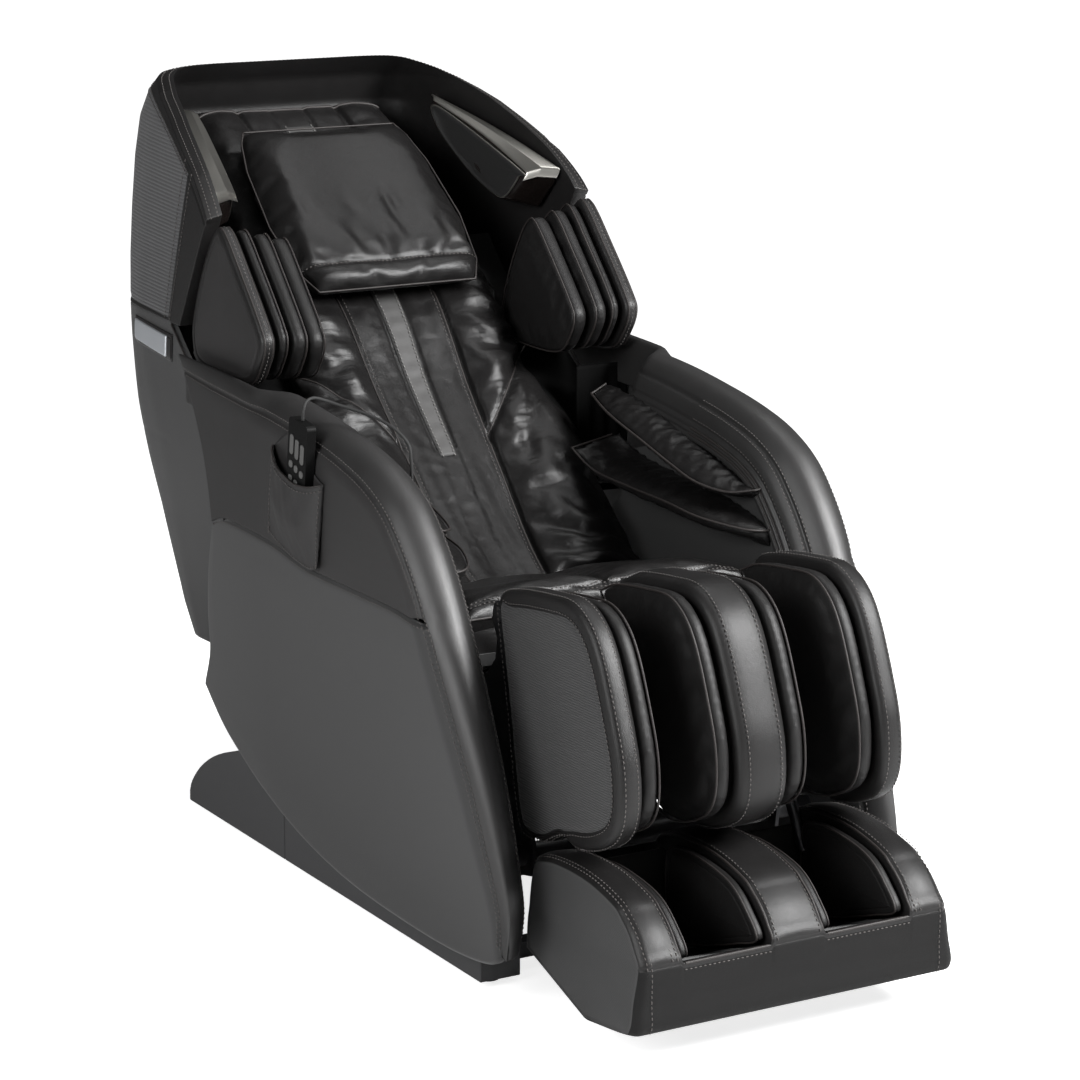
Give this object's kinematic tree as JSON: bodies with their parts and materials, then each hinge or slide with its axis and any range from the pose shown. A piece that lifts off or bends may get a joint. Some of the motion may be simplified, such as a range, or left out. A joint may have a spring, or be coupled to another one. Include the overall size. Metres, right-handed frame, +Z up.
{
  "type": "massage chair",
  "caption": "Full-body massage chair with a hooded reclining back, padded side arms, a lifting leg rest, a sliding foot unit and a corded handset in a side pouch.",
  "frame": {"origin": "on the floor, under the centre of the whole chair", "axes": "+X to the sitter's left as seen from the front, +Y to the rear, +Z up; the front faces -Y"},
  "size_m": [0.769, 1.6251, 1.216],
  "materials": {
    "frame_paint": "satin black powder coat",
    "cover_plastic": "satin dark grey moulded plastic",
    "foot_rubber": "matt",
    "wheel_rubber": "matt",
    "box_plastic": "fine texture",
    "switch_plastic": "gloss",
    "black_leather": "soft semi-gloss artificial leather with fine grain",
    "charcoal_leather": "satin artificial leather with fine grain",
    "mesh_fabric": "embossed fine mesh",
    "lining_fabric": "matt black",
    "cord_rubber": "satin",
    "handset_plastic": "gloss black",
    "key_rubber": "satin",
    "rail_metal": "bare steel",
    "roller_plastic": "natural nylon",
    "gloss_black": "gloss black",
    "bright_chrome": "polished",
    "badge_metal": "satin",
    "rod_steel": "ground"
  },
  "bodies": {
    "base": {"base_frame": "frame_paint", "rail_covers": "cover_plastic", "rear_covers": "cover_plastic", "base_feet": "foot_rubber", "power_box": "box_plastic"},
    "wheel_left": {"transport_wheel_left": "wheel_rubber"},
    "wheel_right": {"transport_wheel_right": "wheel_rubber"},
    "power_rocker": {"power_switch": "switch_plastic"},
    "seat": {"seat_plates": "frame_paint", "seat_tubes": "frame_paint", "seat_pan": "lining_fabric", "seat_cushion": "black_leather", "arm_casing_left": "charcoal_leather", "arm_casing_right": "charcoal_leather", "lower_panel_left": "mesh_fabric", "lower_panel_right": "mesh_fabric", "arm_liner_left": "lining_fabric", "arm_liner_right": "lining_fabric", "arm_airbag_upper_left": "black_leather", "arm_airbag_upper_right": "black_leather", "arm_airbag_lower_left": "black_leather", "arm_airbag_lower_right": "black_leather", "remote_pouch": "charcoal_leather", "remote_cord": "cord_rubber"},
    "remote": {"handset": "handset_plastic"},
    "back": {"hood_shell": "charcoal_leather", "back_shell": "mesh_fabric", "back_pad": "black_leather", "back_rails": "rail_metal", "back_liner": "lining_fabric", "shoulder_wing_left": "charcoal_leather", "shoulder_wing_right": "charcoal_leather", "shoulder_airbags_left": "black_leather", "shoulder_airbags_right": "black_leather", "speaker_pods": "gloss_black", "speaker_trims": "bright_chrome", "side_badges": "badge_metal"},
    "pillow": {"head_pillow": "black_leather"},
    "carriage": {"roller_carriage": "rail_metal"},
    "upper_roller": {"rollers_upper": "roller_plastic"},
    "lower_roller": {"rollers_lower": "roller_plastic"},
    "leg_rest": {"leg_frame": "frame_paint", "calf_back": "lining_fabric", "calf_slab_left": "mesh_fabric", "calf_slab_middle": "charcoal_leather", "calf_slab_right": "mesh_fabric", "calf_airbags": "black_leather"},
    "foot_unit": {"foot_casing": "charcoal_leather", "foot_pads": "lining_fabric", "foot_slides": "rod_steel"},
    "sole_roller": {"sole_rollers": "roller_plastic"},
    "button_recline": {"key_recline": "key_rubber"},
    "button_legs": {"key_legs": "key_rubber"},
    "button_rollers": {"key_rollers": "key_rubber"},
    "button_power": {"key_power": "key_rubber"},
    "button_program": {"key_program": "key_rubber"},
    "button_heat": {"key_heat": "key_rubber"},
    "button_air": {"key_air": "key_rubber"},
    "button_strength": {"key_strength": "key_rubber"},
    "button_width": {"key_width": "key_rubber"}
  },
  "joints": [
    {"name": "seat_tilt", "type": "hinge", "parent": "base", "child": "seat", "pos_m": [0, 0.43, 0.1], "axis": [-1, 0, 0], "range_deg": [0, 12]},
    {"name": "back_recline", "type": "hinge", "parent": "seat", "child": "back", "pos_m": [0, 0.04, 0.405], "axis": [-1, 0, 0], "range_deg": [0, 30]},
    {"name": "leg_lift", "type": "hinge", "parent": "seat", "child": "leg_rest", "pos_m": [0, -0.375, 0.535], "axis": [-1, 0, 0], "range_deg": [0, 60]},
    {"name": "foot_extend", "type": "slide", "parent": "leg_rest", "child": "foot_unit", "axis": [0, -0.4848, -0.8746], "range_m": [0, 0.12]},
    {"name": "sole_roller_spin", "type": "hinge", "parent": "foot_unit", "child": "sole_roller", "pos_m": [0, -0.68, 0.078], "axis": [-1, 0, 0], "continuous": true},
    {"name": "pillow_flip", "type": "hinge", "parent": "back", "child": "pillow", "pos_m": [0, 0.626, 1.106], "axis": [-1, 0, 0], "range_deg": [0, 70]},
    {"name": "roller_travel", "type": "slide", "parent": "back", "child": "carriage", "axis": [0, 0.7021, 0.712], "range_m": [-0.14, 0.25]},
    {"name": "upper_roller_spin", "type": "hinge", "parent": "carriage", "child": "upper_roller", "pos_m": [0, 0.34456, 0.6611], "axis": [-1, 0, 0], "continuous": true},
    {"name": "lower_roller_spin", "type": "hinge", "parent": "carriage", "child": "lower_roller", "pos_m": [0, 0.27154, 0.58705], "axis": [-1, 0, 0], "continuous": true},
    {"name": "handset_lift", "type": "slide", "parent": "seat", "child": "remote", "axis": [0, -0.1392, 0.9903], "range_m": [0, 0.1], "deforming": ["remote_cord"]},
    {"name": "transport_wheel_left_spin", "type": "hinge", "parent": "base", "child": "wheel_left", "pos_m": [-0.247, 0.52, 0.032], "axis": [-1, 0, 0], "continuous": true},
    {"name": "transport_wheel_right_spin", "type": "hinge", "parent": "base", "child": "wheel_right", "pos_m": [0.247, 0.52, 0.032], "axis": [-1, 0, 0], "continuous": true},
    {"name": "power_rock", "type": "hinge", "parent": "base", "child": "power_rocker", "pos_m": [0.025, 0.48, 0.048], "axis": [-1, 0, 0], "range_deg": [0, 8]},
    {"name": "recline_press", "type": "slide", "parent": "remote", "child": "button_recline", "axis": [1, 0, 0], "range_m": [0, 0.0008], "stiffness_N_per_m": 400},
    {"name": "legs_press", "type": "slide", "parent": "remote", "child": "button_legs", "axis": [1, 0, 0], "range_m": [0, 0.0008], "stiffness_N_per_m": 400},
    {"name": "rollers_press", "type": "slide", "parent": "remote", "child": "button_rollers", "axis": [1, 0, 0], "range_m": [0, 0.0008], "stiffness_N_per_m": 400},
    {"name": "power_press", "type": "slide", "parent": "remote", "child": "button_power", "axis": [1, 0, 0], "range_m": [0, 0.0008], "stiffness_N_per_m": 400},
    {"name": "program_press", "type": "slide", "parent": "remote", "child": "button_program", "axis": [1, 0, 0], "range_m": [0, 0.0008], "stiffness_N_per_m": 400},
    {"name": "heat_press", "type": "slide", "parent": "remote", "child": "button_heat", "axis": [1, 0, 0], "range_m": [0, 0.0008], "stiffness_N_per_m": 400},
    {"name": "air_press", "type": "slide", "parent": "remote", "child": "button_air", "axis": [1, 0, 0], "range_m": [0, 0.0008], "stiffness_N_per_m": 400},
    {"name": "strength_press", "type": "slide", "parent": "remote", "child": "button_strength", "axis": [1, 0, 0], "range_m": [0, 0.0008], "stiffness_N_per_m": 400},
    {"name": "width_press", "type": "slide", "parent": "remote", "child": "button_width", "axis": [1, 0, 0], "range_m": [0, 0.0008], "stiffness_N_per_m": 400}
  ]
}
